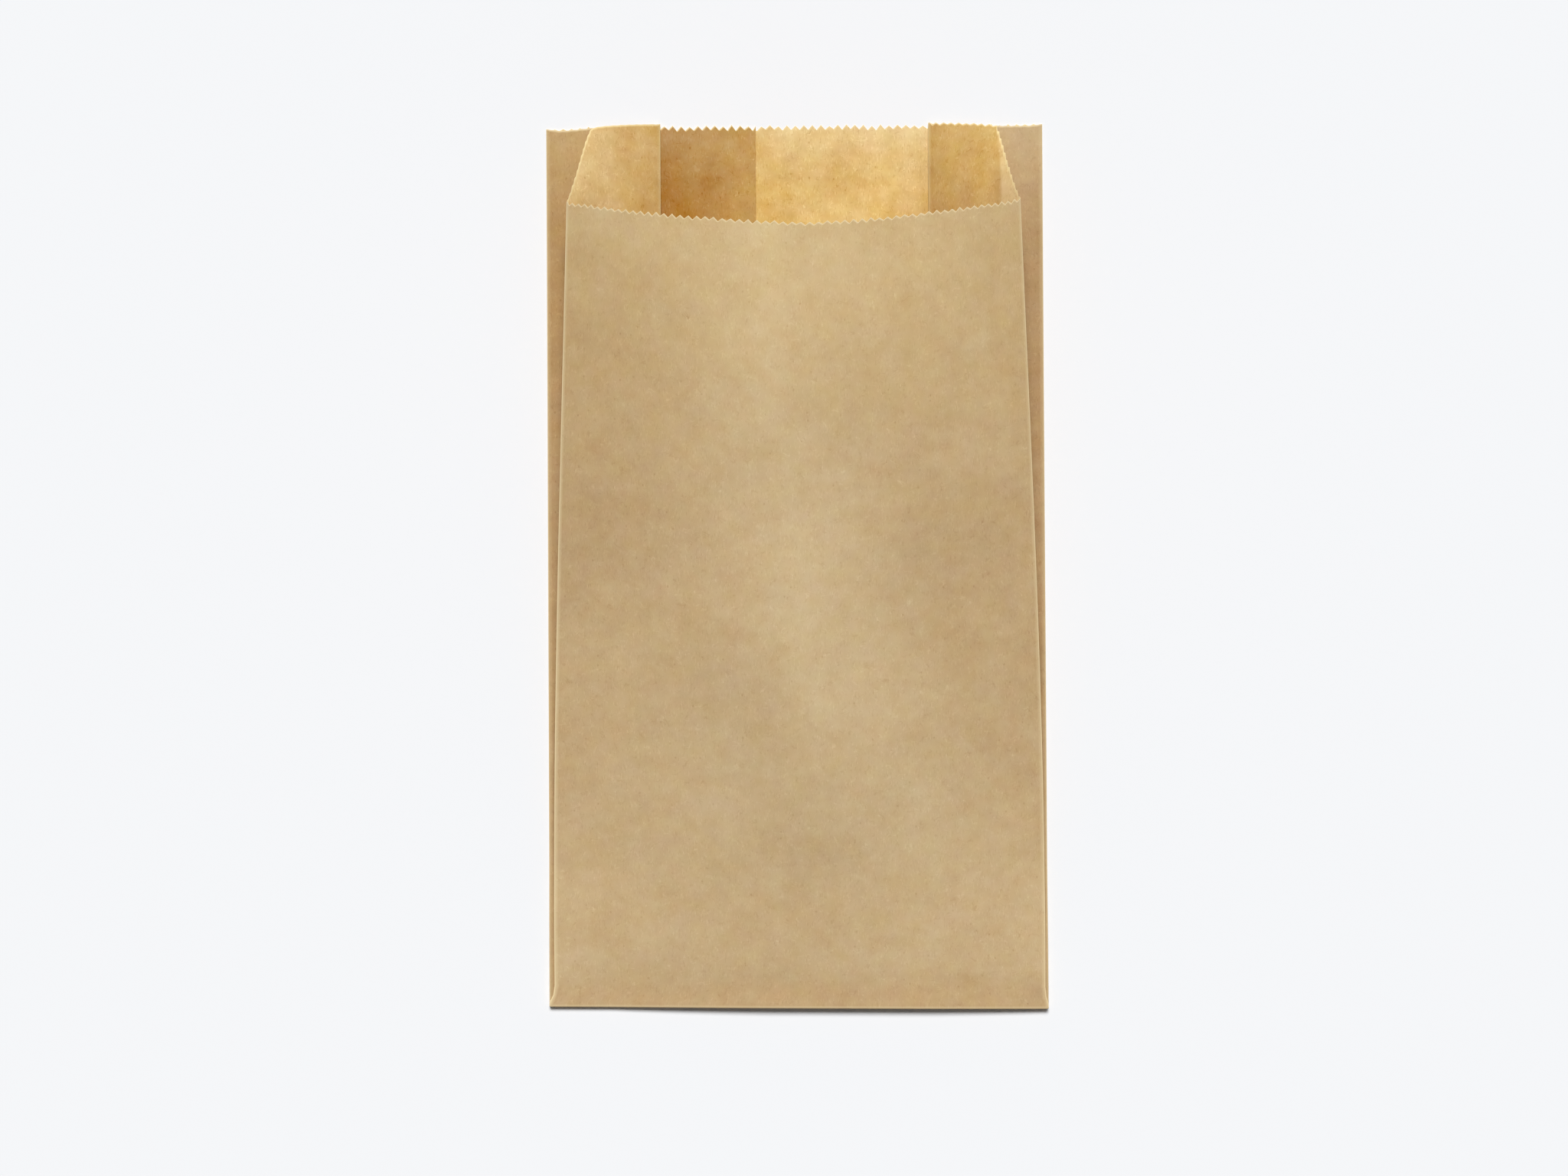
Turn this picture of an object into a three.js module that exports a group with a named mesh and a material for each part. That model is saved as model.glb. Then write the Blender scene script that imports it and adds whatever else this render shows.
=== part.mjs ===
// A gusseted paper pastry bag, lying on its back with its mouth standing open.
//
// The bag is one sheet of kraft paper. It is folded into a flattened tube with a gusset down each side,
// lapped and glued down the back, turned over and glued at the bottom, and pinked along the mouth. The
// front is cut lower than the back, so that the mouth is easy to find.
//
// Millimetres. +X runs across the bag, +Y from the bottom fold to the mouth, and +Z up through the front.
// The origin is on the surface that the bag lies on, under the middle of the bag.

import * as THREE from "three";

// The paper
const PAPER = 0.12; // thickness
const LAYER_GAP = 0.1; // air between two layers that lie on each other
const KRAFT = { color: 0xc6aa7b, roughness: 0.85, metalness: 0 };

// The bag pressed flat
const BACK_WIDTH = 152.4;
const BAG_LENGTH = 269; // bottom fold to the tips of the back's teeth
const GUSSET_DEPTH = 35; // back fold to the gusset's inner crease
const FRONT_INSET = { left: 1.6, right: 1 }; // how far the front folds lie inside the back folds

// The lapped seam down the back
const LAP_EDGE_X = -11.5; // cut edge of the inner layer
const LAP_WIDTH = 30;
const LAP_CLIMB = 6; // run over which the inner layer climbs onto the outer one
const LAP_CLEAR = 1; // the climb ends this far before the outer layer's edge

// The closed bottom
const FLAP_LENGTH = 18; // paper turned over onto the back
const GLUE_BAND = 6; // the layers stay pressed together this far above the bottom fold
const SETTLE_RUN = 30; // run over which the back comes down from the flap to the surface

// The cut along the mouth
const LIP_DROP = 24.4; // front cut below the back cut
const FRONT_DIP = 5.6; // further drop at the middle of the front
const SLANT_RUN = { left: 10.8, right: 11.8 }; // width of the slanting cut beside each front fold
const TOOTH_PITCH = 2.6;
const TOOTH_DEPTH = 1.3;

// How the mouth stands open
const FOLD_RISE = { left: 19, right: 21.4 }; // front folds above the creases, at the front's cut
const CREASE_LIFT = 0.8; // creases above the back, at the front's cut
const GUSSET_BOW = 2; // sag of a gusset's front half between its folds
const FULLNESS = 0.45; // 0 opens in a straight wedge; more fills out the lower half
const FALL_BACK = 0.4; // share of the opening that the gussets lose above the front's cut

// Fineness of the facets
const COLUMN_WIDTH = 10; // no column of facets is wider than this
const BEND_STEPS = 4; // facets round the bottom fold
const BODY_ROWS = 7;
const PATH_STEP = 4; // step used to follow the paper up the bag

// Values that follow from the dimensions above
const HALF = BACK_WIDTH / 2;
const LEVEL = PAPER + LAYER_GAP;
const BACK = 0;
const LAP = 1;
const GUSSET_BACK = 2;
const GUSSET_FRONT = 3;
const FRONT = 4;
const FLAP_STACK = (FRONT + 1) * LEVEL; // the turned-over layers hold the back up this far
const FRONT_LENGTH = BAG_LENGTH - LIP_DROP;
const FRONT_WIDTH = BACK_WIDTH - FRONT_INSET.left - FRONT_INSET.right;
const LAP_OUTER_X = LAP_EDGE_X - LAP_WIDTH; // cut edge of the outer layer
const CLIMB_END_X = LAP_OUTER_X - LAP_CLEAR;
const TOOTH_BAND = TOOTH_DEPTH * (COLUMN_WIDTH / TOOTH_PITCH + 2); // strip that the teeth stand on
const SIGN = { left: -1, right: 1 };

// Half the angle of the circular arc whose length is to its chord as 1 is to ratio.
function archAngle(ratio) {
  let low = 0;
  let high = Math.PI / 2;
  for (let i = 0; i < 40; i++) {
    const middle = (low + high) / 2;
    if (Math.sin(middle) > ratio * middle) low = middle;
    else high = middle;
  }
  return (low + high) / 2;
}

// Where one side's crease and front fold stand, where the bag is open by the given share.
function sideFolds(side, open) {
  const lift = CREASE_LIFT * open;
  const rise = FOLD_RISE[side] * open;
  const frontHalf = GUSSET_DEPTH - FRONT_INSET[side];
  const creaseX = HALF - Math.sqrt(GUSSET_DEPTH ** 2 - lift ** 2);
  const foldX = creaseX + Math.sqrt(frontHalf ** 2 - rise ** 2);
  return {
    crease: new THREE.Vector2(SIGN[side] * creaseX, lift),
    fold: new THREE.Vector2(SIGN[side] * foldX, lift + rise),
    bow: GUSSET_BOW * open,
  };
}

// The bag's cross-section at a distance v up the paper from the bottom fold. Above the front's cut nothing
// holds the gussets up, so they fall back.
function section(v) {
  const s = THREE.MathUtils.clamp((v - GLUE_BAND) / (FRONT_LENGTH - GLUE_BAND), 0, 1);
  const above = Math.max(0, (v - FRONT_LENGTH) / LIP_DROP);
  const open = s * (1 + FULLNESS * (1 - s)) - FALL_BACK * above ** 2;
  return { left: sideFolds("left", open), right: sideFolds("right", open) };
}

// The paper keeps its width, so the front arches as its folds draw together.
function onFront(q, { left, right }) {
  const chord = right.fold.clone().sub(left.fold);
  const angle = archAngle(Math.min(1, chord.length() / FRONT_WIDTH));
  const radius = chord.length() / (2 * Math.sin(angle));
  const along = 0.5 + (Math.sin(angle * (2 * q - 1)) * radius) / chord.length();
  const up = radius * (Math.cos(angle * (2 * q - 1)) - Math.cos(angle));
  const normal = new THREE.Vector2(-chord.y, chord.x).normalize();
  return left.fold.clone().addScaledVector(chord, along).addScaledVector(normal, up);
}

function onGussetFront(q, { crease, fold, bow }) {
  const point = crease.clone().lerp(fold, q);
  point.y -= bow * 4 * q * (1 - q);
  return point;
}

function onGussetBack(q, side, { crease }) {
  return new THREE.Vector2(SIGN[side] * HALF, 0).lerp(crease, q);
}

function onBack(q, from, to) {
  return new THREE.Vector2(THREE.MathUtils.lerp(from, to, q), 0);
}

// The inner layer of the back lies on the outer one along the lap, and beside the lap it comes down level.
function lapLevel(x) {
  return LAP * THREE.MathUtils.smoothstep(x, CLIMB_END_X - LAP_CLIMB, CLIMB_END_X);
}

// Shares from 0 to 1, in equal steps.
function shares(count) {
  return Array.from({ length: count + 1 }, (_, i) => i / count);
}

// Shares of a panel's width at which it has columns: at each given stop, and evenly between the stops.
function columnShares(width, stops) {
  return stops.flatMap((stop, i) => {
    if (i === 0) return [stop];
    const before = stops[i - 1];
    const count = Math.ceil(((stop - before) * width) / COLUMN_WIDTH);
    return shares(count).slice(1).map((share) => THREE.MathUtils.lerp(before, stop, share));
  });
}

const innerLength = HALF + LAP_EDGE_X;
const outerLength = HALF - LAP_OUTER_X;
const innerShare = (x) => (LAP_EDGE_X - x) / innerLength;
const slantShare = (side) => SLANT_RUN[side] / (GUSSET_DEPTH - FRONT_INSET[side]);

// The panels in the order in which they follow each other across the sheet, from the inner edge of the lap
// to its outer edge. at() gives a panel's place in the cross-section, at a share q of its own width.
const PANELS = [
  {
    width: innerLength,
    level: (q) => lapLevel(LAP_EDGE_X - q * innerLength),
    at: (q) => onBack(q, LAP_EDGE_X, -HALF),
    stops: [0, innerShare(CLIMB_END_X), innerShare(CLIMB_END_X - LAP_CLIMB), 1],
  },
  {
    width: GUSSET_DEPTH,
    level: () => GUSSET_BACK,
    at: (q, cut) => onGussetBack(q, "left", cut.left),
    stops: [0, 1],
  },
  {
    width: GUSSET_DEPTH - FRONT_INSET.left,
    level: () => GUSSET_FRONT,
    at: (q, cut) => onGussetFront(q, cut.left),
    drop: (q, width) => slantDrop("left", (1 - q) * width),
    stops: [0, 1 - slantShare("left"), 1],
  },
  {
    width: FRONT_WIDTH,
    level: () => FRONT,
    at: (q, cut) => onFront(q, cut),
    drop: (q) => LIP_DROP + FRONT_DIP * 4 * q * (1 - q),
    stops: [0, 1],
  },
  {
    width: GUSSET_DEPTH - FRONT_INSET.right,
    level: () => GUSSET_FRONT,
    at: (q, cut) => onGussetFront(1 - q, cut.right),
    drop: (q, width) => slantDrop("right", q * width),
    stops: [0, slantShare("right"), 1],
  },
  {
    width: GUSSET_DEPTH,
    level: () => GUSSET_BACK,
    at: (q, cut) => onGussetBack(1 - q, "right", cut.right),
    stops: [0, 1],
  },
  {
    width: outerLength,
    level: () => BACK,
    at: (q) => onBack(q, HALF, LAP_OUTER_X),
    stops: [0, 1],
  },
];

function slantDrop(side, fromFold) {
  return LIP_DROP * Math.max(0, 1 - fromFold / SLANT_RUN[side]);
}

// The cut along the mouth, as a distance up the paper from the bottom fold.
function mouthCut({ panel, q }) {
  return BAG_LENGTH - (panel.drop ? panel.drop(q, panel.width) : 0);
}

// How far a point of the cut lies below the tips of the teeth.
function toothDrop(u) {
  const place = u / TOOTH_PITCH;
  return TOOTH_DEPTH * Math.abs(2 * (place - Math.floor(place)) - 1);
}

// Height of the back above the surface: it rests on the turned-over flap, and beyond that on the surface.
function settle(v) {
  return FLAP_STACK * (1 - THREE.MathUtils.smoothstep(v, FLAP_LENGTH, FLAP_LENGTH + SETTLE_RUN));
}

function crossPoint(column, v) {
  const point = column.panel.at(column.q, section(v));
  point.y += settle(v) + PAPER / 2 + column.level * LEVEL;
  return point;
}

// The paper doesn't stretch, so where it rises or draws in it reaches less far along the bag.
function upBag(column, v) {
  const steps = Math.max(1, Math.ceil(v / PATH_STEP));
  let before = crossPoint(column, 0);
  let y = 0;
  for (let i = 1; i <= steps; i++) {
    const after = crossPoint(column, (v * i) / steps);
    y += Math.sqrt(Math.max(0, (v / steps) ** 2 - before.distanceToSquared(after)));
    before = after;
  }
  return new THREE.Vector3(before.x, y, before.y);
}

// Radius of a layer's half turn round the bottom fold.
function turnRadius(column) {
  return (column.level + 0.5) * LEVEL;
}

function roundBottom(column, length) {
  const radius = turnRadius(column);
  const centreZ = FLAP_STACK + PAPER / 2 - LEVEL / 2;
  const angle = Math.min(Math.PI, length / radius);
  const beyond = length - angle * radius;
  const { x } = crossPoint(column, 0);
  return new THREE.Vector3(x, beyond - radius * Math.sin(angle), centreZ + radius * Math.cos(angle));
}

// A point of the sheet: v is measured up the paper from the bottom fold, and is negative on the flap.
function sheetPoint(column, v) {
  return v < 0 ? roundBottom(column, -v) : upBag(column, v);
}

// Columns of the sheet. Two panels meet in a narrow fold: an end of each, and the edge between them.
function sheetColumns() {
  const reach = LEVEL / 2;
  const columns = [];
  let start = 0;
  PANELS.forEach((panel, i) => {
    const last = i === PANELS.length - 1;
    const trim = reach / panel.width;
    const low = i === 0 ? 0 : trim;
    const high = last ? 1 : 1 - trim;
    for (const share of columnShares(panel.width, panel.stops)) {
      const q = THREE.MathUtils.clamp(share, low, high);
      columns.push({ panel, q, u: start + q * panel.width, level: panel.level(q) });
    }
    start += panel.width;
    if (!last) {
      const level = (panel.level(1) + PANELS[i + 1].level(0)) / 2;
      columns.push({ panel, q: 1, u: start, level });
    }
  });
  return columns;
}

// Distances up the paper at which a column has its points, from the flap's cut edge to below the teeth.
function columnRows(column) {
  const turn = Math.PI * turnRadius(column);
  const bend = Array.from({ length: BEND_STEPS + 1 }, (_, i) => -turn * (1 - i / BEND_STEPS));
  const settled = FLAP_LENGTH + SETTLE_RUN;
  const highest = FRONT_LENGTH - FRONT_DIP - TOOTH_BAND * 2;
  const body = shares(BODY_ROWS).map((share) => THREE.MathUtils.lerp(settled, highest, share));
  const low = [GLUE_BAND, FLAP_LENGTH, FLAP_LENGTH + SETTLE_RUN / 2];
  return [-FLAP_LENGTH, ...bend, ...low, ...body, mouthCut(column) - TOOTH_BAND];
}

// Points of the pinked edge between two neighbouring columns, the second one included. A tip or a valley
// that falls on a column, or almost on it, is left to that column's own point.
function cutBetween(from, to) {
  const cut = [];
  const inPanel = from.panel === to.panel ? from : { ...from, panel: to.panel, q: 0 };
  const half = TOOTH_PITCH / 2;
  for (let k = Math.floor((from.u + LEVEL) / half) + 1; k * half < to.u - LEVEL; k++) {
    const share = (k * half - from.u) / (to.u - from.u);
    cut.push({
      panel: to.panel,
      q: THREE.MathUtils.lerp(inPanel.q, to.q, share),
      u: k * half,
      level: THREE.MathUtils.lerp(from.level, to.level, share),
    });
  }
  return [...cut, to];
}

// The middle surface of the folded sheet, as points and triangles that face out of the bag.
function foldedSheet() {
  const points = [];
  const triangles = [];
  const add = (point) => points.push(point) - 1;
  const cutPoint = (column) => add(sheetPoint(column, mouthCut(column) - toothDrop(column.u)));

  const columns = sheetColumns();
  const grid = columns.map((column) => columnRows(column).map((v) => add(sheetPoint(column, v))));
  let edge = cutPoint(columns[0]);
  for (let i = 1; i < columns.length; i++) {
    const [left, right] = [grid[i - 1], grid[i]];
    for (let j = 1; j < left.length; j++) {
      triangles.push([left[j - 1], left[j], right[j]], [left[j - 1], right[j], right[j - 1]]);
    }
    const [footLeft, footRight] = [left.at(-1), right.at(-1)];
    const cut = [edge, ...cutBetween(columns[i - 1], columns[i]).map(cutPoint)];
    const middle = Math.floor(cut.length / 2);
    for (let k = 1; k < cut.length; k++) {
      triangles.push([k <= middle ? footLeft : footRight, cut[k - 1], cut[k]]);
    }
    triangles.push([footLeft, cut[middle], footRight]);
    edge = cut.at(-1);
  }
  return { points, triangles };
}

function pointNormals(points, triangles) {
  const normals = points.map(() => new THREE.Vector3());
  for (const [a, b, c] of triangles) {
    const side = points[b].clone().sub(points[a]);
    const face = side.cross(points[c].clone().sub(points[a]));
    for (const corner of [a, b, c]) normals[corner].add(face);
  }
  return normals.map((normal) => normal.normalize());
}

// Edges that only one triangle uses, in that triangle's direction.
function openEdges(triangles) {
  const edges = new Map();
  for (const [a, b, c] of triangles) {
    for (const [from, to] of [[a, b], [b, c], [c, a]]) {
      if (!edges.delete(`${to} ${from}`)) edges.set(`${from} ${to}`, [from, to]);
    }
  }
  return [...edges.values()];
}

// Gives a surface its paper thickness, and closes it along its cut edges.
function thicken({ points, triangles }, thickness) {
  const normals = pointNormals(points, triangles);
  const count = points.length;
  const along = (distance) => (point, i) => point.clone().addScaledVector(normals[i], distance);
  const corners = [...points.map(along(thickness / 2)), ...points.map(along(-thickness / 2))];
  const faces = [
    ...triangles,
    ...triangles.map(([a, b, c]) => [a + count, c + count, b + count]),
    ...openEdges(triangles).flatMap(([a, b]) => [
      [b, a, a + count],
      [b, a + count, b + count],
    ]),
  ];
  const geometry = new THREE.BufferGeometry().setFromPoints(corners);
  return geometry.setIndex(faces.flat());
}

function bagGeometry() {
  const geometry = thicken(foldedSheet(), PAPER);
  geometry.computeBoundingBox();
  const { min, max } = geometry.boundingBox;
  geometry.translate(-(min.x + max.x) / 2, -(min.y + max.y) / 2, -min.z);
  geometry.computeVertexNormals();
  return geometry;
}

const bag = new THREE.Mesh(bagGeometry(), new THREE.MeshStandardMaterial(KRAFT));
bag.name = "folded_paper_bag";

const pastryBag = new THREE.Group();
pastryBag.add(bag);

export default pastryBag;
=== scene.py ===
# %% [markdown]
# # A paper pastry bag
#
# The bag is one sheet of brown kraft paper. A bag machine folds the sheet round a flat former into a tube
# with a gusset down each side, laps and glues it down the back, turns the bottom over and glues it, and
# pinks the mouth with a toothed knife. Here the bag lies on its back with its mouth standing open.
#
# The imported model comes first. It gives the bag's place and width, and the paper below is folded to fit
# it. Blender works in metres and a bag maker in millimetres, so MM turns one into the other.

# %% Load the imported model
from math import pi, radians

import bmesh
import bpy
import numpy as np
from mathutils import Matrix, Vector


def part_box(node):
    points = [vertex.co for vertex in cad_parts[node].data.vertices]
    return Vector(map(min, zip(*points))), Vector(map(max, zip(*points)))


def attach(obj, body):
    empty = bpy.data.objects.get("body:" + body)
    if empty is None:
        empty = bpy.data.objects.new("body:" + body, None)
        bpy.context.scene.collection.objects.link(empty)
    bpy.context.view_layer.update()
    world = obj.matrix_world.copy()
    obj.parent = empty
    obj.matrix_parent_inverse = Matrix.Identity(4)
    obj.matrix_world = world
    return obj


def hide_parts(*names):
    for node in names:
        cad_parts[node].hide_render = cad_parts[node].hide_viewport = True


MM = 0.001

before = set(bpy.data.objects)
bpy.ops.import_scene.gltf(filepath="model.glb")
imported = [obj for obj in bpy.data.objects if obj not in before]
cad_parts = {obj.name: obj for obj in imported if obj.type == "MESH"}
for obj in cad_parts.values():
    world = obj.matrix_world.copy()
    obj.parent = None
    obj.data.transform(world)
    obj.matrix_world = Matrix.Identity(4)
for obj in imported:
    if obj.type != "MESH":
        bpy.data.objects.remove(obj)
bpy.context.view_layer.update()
bag_low, bag_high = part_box("folded_paper_bag")
print("packed bag, mm:", [round((b - a) / MM, 1) for a, b in zip(bag_low, bag_high)])

# %% [markdown]
# ## The camera
#
# The bag is seen from straight above, from about a metre away. That is near enough for the raised front
# of the mouth to look a little larger than the back, so the height matters as much as the lens. A camera
# that isn't turned looks straight down with +Y at the top of the picture. The tiny turn is how the bag
# lay in the picture.

# %% Camera above the bag
CAMERA_PLACE = (-0.0039, -0.0066, 0.950)
CAMERA_TURN = radians(-0.315)
LENS = 71.2
SENSOR = 36.0

eye = bpy.data.cameras.new("overhead_camera")
eye.sensor_fit = "HORIZONTAL"
eye.sensor_width = SENSOR
eye.lens = LENS
camera = bpy.data.objects.new("overhead_camera", eye)
camera.location = CAMERA_PLACE
camera.rotation_euler = (0.0, 0.0, CAMERA_TURN)
bpy.context.collection.objects.link(camera)
bpy.context.scene.camera = camera
print("camera height, m:", camera.location.z)

# %% [markdown]
# ## The flat sheet
#
# Laid out flat, the sheet is seven panels side by side: the left of the back with the lap's inner edge, a
# gusset of two halves, the front, the other gusset, and the right of the back, which runs on under the
# lap to its outer edge. Two panels meet at a fold. The real sheet is cut to the sum of its panels, so
# that is how it is added up here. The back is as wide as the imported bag, less its paper.

# %% Sizes of the sheet, in millimetres
PAPER = 0.12
GUSSET = 35.0  # each of its halves
FRONT_INSET = {"left": 1.6, "right": 1.0}  # the front folds lie this far inside the back folds
LAP_EDGE = -11.5  # the inner layer's cut edge, from the middle of the bag
LAP_WIDTH = 30.0
FLAP = 18.0  # turned over at the bottom
BAG_LENGTH = 269.0

back_width = (bag_high[0] - bag_low[0]) / MM - PAPER
half = back_width / 2
PANEL_WIDTH = {
    "inner_back": half + LAP_EDGE,
    "left_back_half": GUSSET,
    "left_front_half": GUSSET - FRONT_INSET["left"],
    "front": back_width - FRONT_INSET["left"] - FRONT_INSET["right"],
    "right_front_half": GUSSET - FRONT_INSET["right"],
    "right_back_half": GUSSET,
    "outer_back": half - LAP_EDGE + LAP_WIDTH,
}
PANELS = list(PANEL_WIDTH)
FOLDS = len(PANELS) - 1
SIDE = {
    "inner_back": "left", "left_back_half": "left", "left_front_half": "left",
    "right_front_half": "right", "right_back_half": "right", "outer_back": "right",
}

# %% [markdown]
# ## Columns of the sheet
#
# The toothed edge sets how fine the sheet has to be: with a column of points at every tip and every
# valley, a tooth is a clean triangle. So each panel is divided into half teeth, and more finely along the
# slanting cuts, which are longer than they are wide. At a fold there is a column on the fold and one
# close to it on each side, which keep the fold crisp.

# %% Half teeth in each panel
TOOTH_PITCH = 2.6
FOLD_REACH = 0.35  # from a fold to the columns beside it
LIP_DROP = 24.4  # the front is cut this far below the back
SLANT_RUN = {"left": 10.8, "right": 11.8}  # width of the slanting cut beside each front fold


def half_teeth(cut_length):
    return 2 * round(cut_length / TOOTH_PITCH)


def stretches(panel):
    """Parts of a panel, from one share of its width to another, with the half teeth in each."""
    width = PANEL_WIDTH[panel]
    if not panel.endswith("front_half"):
        return [(0.0, 1.0, half_teeth(width))]
    run = SLANT_RUN[SIDE[panel]]
    level_part = half_teeth(width - run)
    slanting = half_teeth(np.hypot(run, LIP_DROP))
    if SIDE[panel] == "left":
        return [(0.0, 1 - run / width, level_part), (1 - run / width, 1.0, slanting)]
    return [(0.0, run / width, slanting), (run / width, 1.0, level_part)]


print("half teeth in each panel:", [sum(part[2] for part in stretches(panel)) for panel in PANELS])


# %% The columns
def panel_columns(number):
    """The columns across one panel, and the one on the fold after it."""
    panel = PANELS[number]
    trim = FOLD_REACH / PANEL_WIDTH[panel]
    made = []
    for low, high, halves in stretches(panel):
        for k in range(1 if low else 0, halves + 1):
            share = np.clip(low + (high - low) * k / halves, trim, 1 - trim)
            fold = None
            if share == trim and number > 0:
                fold = number - 1
            if share == 1 - trim and number < FOLDS:
                fold = number
            made.append({"panel": panel, "share": share, "valley": k % 2, "fold": fold, "on_fold": False})
    if number < FOLDS:
        made.append({"panel": panel, "share": 1.0, "valley": 0, "fold": number, "on_fold": True})
    return made


columns = []
for number, panel in enumerate(PANELS):
    before = sum(PANEL_WIDTH[name] for name in PANELS[:number])
    for column in panel_columns(number):
        column["u"] = before + column["share"] * PANEL_WIDTH[panel]
        columns.append(column)
print("columns:", len(columns))

# %% [markdown]
# ## The cut along the mouth
#
# The front is cut lower than the back, in a shallow curve, and each gusset's front half is cut on a slant
# beside the front fold. The knife leaves deep teeth across the front and the back. The gussets were cut
# through more layers, and theirs are shallower. A boolean could cut the teeth, but it would leave ragged
# faces behind. Here the cut is worked out first, and each column of points simply ends on it.

# %% Sizes of the cut
FRONT_DIP = 5.0
DIP_MORE = 0.8  # a little deeper here
DIP_PLACE = 0.56  # just right of the middle
DIP_WIDTH = 0.15
SLANT_TOOTH = {"left": 0.5, "right": 0.9}
SLANT_ROUND = {"left": 0.10, "right": 0.01}  # the corner above a slanting cut, as a share of the drop
FLAP_PROUD = 0.5  # the gussets stand out past the back beside their creases
CORNER_RUN = (4.0, 16.0)  # the back's cut rises from its low corners between these distances
CORNER_DROP = {"left": 0.8, "right": 0.0}
CORNER_TOOTH = 0.5
BEHIND = 0.4  # a gusset's back half is cut this much lower than the back
BEHIND_RUN = 4.0  # it eases to its neighbours' cut over this distance from its folds
HIDDEN = 1.2  # under the lap, the outer layer is cut lower by this share of a tooth
TOOTH_DEPTH = {
    "inner_back": 1.3, "left_back_half": 0.15, "left_front_half": 0.08, "front": 0.95,
    "right_front_half": 0.6, "right_back_half": 0.15, "outer_back": 1.3,
}

print("deepest teeth, mm:", max(TOOTH_DEPTH.values()))


# %% Shape of the cut
def smooth(x, low, high):
    t = np.clip((x - low) / (high - low), 0.0, 1.0)
    return t * t * (3 - 2 * t)


def front_cut(q):
    more = DIP_MORE * np.exp(-(((q - DIP_PLACE) / DIP_WIDTH) ** 2))
    return LIP_DROP + FRONT_DIP * 4 * q * (1 - q) + more, TOOTH_DEPTH["front"]


def flap_cut(panel, from_fold):
    """A gusset's front half: slanting beside the front fold, then nearly level as far as the crease."""
    side = SIDE[panel]
    slant = 1 - from_fold / SLANT_RUN[side]
    drop = LIP_DROP * (slant + np.hypot(slant, SLANT_ROUND[side])) / 2
    if slant > 0:
        return drop, SLANT_TOOTH[side]
    level_run = PANEL_WIDTH[panel] / SLANT_RUN[side] - 1
    return drop + FLAP_PROUD * slant / level_run, TOOTH_DEPTH[panel]


def back_cut(panel, from_corner):
    """The back, and the gussets' back halves, which lie on it."""
    depth = TOOTH_DEPTH[panel]
    corner = 1 - smooth(from_corner, *CORNER_RUN)
    drop = CORNER_DROP[SIDE[panel]] * corner
    if panel.endswith("back_half"):
        off_corner = smooth(from_corner, FOLD_REACH, BEHIND_RUN)
        at_crease = 1 - smooth(GUSSET - from_corner, FOLD_REACH, BEHIND_RUN)
        return drop + BEHIND * off_corner - (BEHIND + FLAP_PROUD) * at_crease, depth
    if panel == "outer_back" and half - from_corner < LAP_EDGE:
        drop += depth * HIDDEN
    return drop, depth + (CORNER_TOOTH - depth) * corner


def mouth_cut(panel, q):
    """How far the cut lies below the back's tips, and how deep its teeth are."""
    if panel == "front":
        return front_cut(q)
    if panel.endswith("front_half"):
        return flap_cut(panel, (1 - q if SIDE[panel] == "left" else q) * PANEL_WIDTH[panel])
    return back_cut(panel, (q if panel in ("left_back_half", "outer_back") else 1 - q) * PANEL_WIDTH[panel])


print("cut in the middle of the front, mm below the back:", round(mouth_cut("front", 0.5)[0], 1))

# %% [markdown]
# No two teeth of a worn knife are quite alike, so every column's end is shifted a little by chance. The
# random numbers start from a fixed seed, which gives the same bag each time.

# %% Where each column ends
SEED = 7
UNEVEN = 0.4  # share of its depth by which a tooth varies

chance = np.random.default_rng(SEED)
for column in columns:
    drop, depth = mouth_cut(column["panel"], column["share"])
    column["cut"] = BAG_LENGTH - drop - UNEVEN * depth * (chance.random() - 0.5)
    column["tooth"] = depth * column["valley"]
print("lowest cut, mm:", round(min(column["cut"] for column in columns), 1))

# %% [markdown]
# ## Layers
#
# Where layers lie on each other, each has its own level, so that no two of them share a place. A column
# on a fold has the level between its two layers. The lap's inner layer comes down to the surface beside
# the lap.

# %% Levels of the layers
LEVEL = 0.22  # from one layer to the next, with the air between them
LAP_CLEAR = 1.0
LAP_CLIMB = 6.0
PANEL_LEVEL = {
    "inner_back": 1, "left_back_half": 2, "left_front_half": 3, "front": 4,
    "right_front_half": 3, "right_back_half": 2, "outer_back": 0,
}


def layer_level(panel, q):
    if panel != "inner_back":
        return float(PANEL_LEVEL[panel])
    beside = LAP_EDGE - LAP_WIDTH - LAP_CLEAR
    x = LAP_EDGE - q * PANEL_WIDTH[panel]
    return PANEL_LEVEL[panel] * float(smooth(x, beside - LAP_CLIMB, beside))


def fold_level(fold):
    return (layer_level(PANELS[fold], 1.0) + layer_level(PANELS[fold + 1], 0.0)) / 2


for column in columns:
    level = layer_level(column["panel"], column["share"])
    column["flap_level"] = level if column["fold"] is None else fold_level(column["fold"])
    column["level"] = column["flap_level"] if column["on_fold"] else level
print("levels, mm:", [round(LEVEL * PANEL_LEVEL[panel], 2) for panel in PANELS])

# %% [markdown]
# ## Rows
#
# Up the paper, the rows are close together round the bottom turn and below the mouth, where the shape
# changes fast, and even between them. Distances up the paper start at the bottom fold and are negative on
# the flap. A layer further out goes round a wider turn, so it uses up more paper there.

# %% Rows of the sheet
TURN = 3.5  # paper in the bottom turn, for each unit of its radius
FLAP_ROWS = 6
BEND_ROWS = 12
BODY_ROWS = 80
UPPER_ROWS = 10
FIRST_ROW = 0.4  # just above the bottom fold
EVEN_TOP = 236.0  # the rows are the same in all columns up to here
TOOTH_FOOT = 2.0  # the last row before the cut lies this far below it
SLANT_FOOT = 5.0  # and this far below a slanting cut
SLANT_LEAST = 1.0  # a gusset's cut is slanting where it is lower than this


def turn_radius(level):
    """The innermost layer turns round half the space of a layer."""
    return (level + 0.5) * LEVEL


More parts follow.
